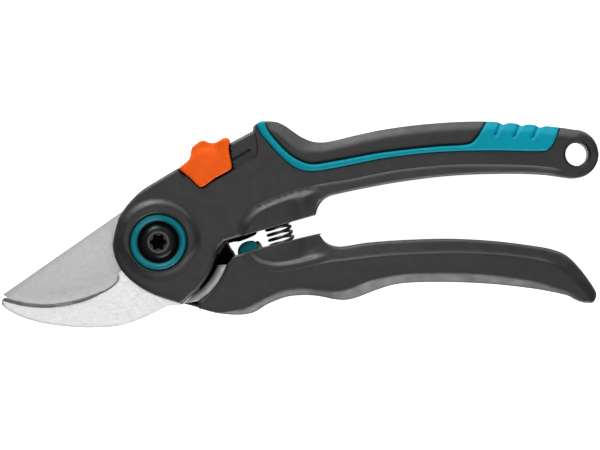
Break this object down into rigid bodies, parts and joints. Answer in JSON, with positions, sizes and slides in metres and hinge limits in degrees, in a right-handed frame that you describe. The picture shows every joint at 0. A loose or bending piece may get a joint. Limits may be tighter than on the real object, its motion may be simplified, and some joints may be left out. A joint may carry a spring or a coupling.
{
  "type": "pruning shears",
  "caption": "Bypass pruning shears with a curved counter blade, a return spring, a sliding thumb lock and a hanging hole, shown locked shut.",
  "frame": {"origin": "on the pivot axis, in the plane of the surface that the shears lie on", "axes": "+Z along the pivot axis, up from the rear face to the bolt head; +X from the blades to the handle ends; +Y towards the upper handle"},
  "size_m": [0.2212, 0.0765, 0.0185],
  "materials": {
    "charcoal_plastic": "fine moulded grain",
    "soft_grip": "soft matt",
    "teal_rubber": "soft matt",
    "hook_steel": "satin",
    "blade_steel": "fine ground",
    "zinc_steel": "zinc plated",
    "black_steel": "black oxide",
    "spring_steel": "blackened",
    "bronze": "oiled",
    "teal_ring": "satin",
    "orange_plastic": "satin"
  },
  "bodies": {
    "upper": {"upper_handle": "charcoal_plastic", "grip_pad": "soft_grip", "accent_inlay": "teal_rubber", "counter_blade": "hook_steel", "counter_blade_pins": "zinc_steel", "pivot_bolt": "black_steel", "bolt_disc_spring": "spring_steel", "pivot_bush": "bronze", "thrust_washer": "bronze", "nut_washer": "zinc_steel", "pivot_nut": "zinc_steel", "pivot_ring": "teal_ring", "return_spring": "spring_steel"},
    "lower": {"lower_handle": "charcoal_plastic", "cutting_blade": "blade_steel", "cutting_blade_pins": "zinc_steel", "bumper": "teal_rubber"},
    "slider": {"lock_slider": "orange_plastic", "slider_pin": "zinc_steel", "lock_plate": "zinc_steel"}
  },
  "joints": [
    {"name": "jaw_pivot", "type": "hinge", "parent": "upper", "child": "lower", "pos_m": [0, 0, 0], "axis": [0, 0, -1], "range_deg": [-1, 28], "deforming": ["return_spring"]},
    {"name": "lock_slide", "type": "slide", "parent": "upper", "child": "slider", "axis": [0.8678, 0.497, 0], "range_m": [0, 0.01]}
  ]
}
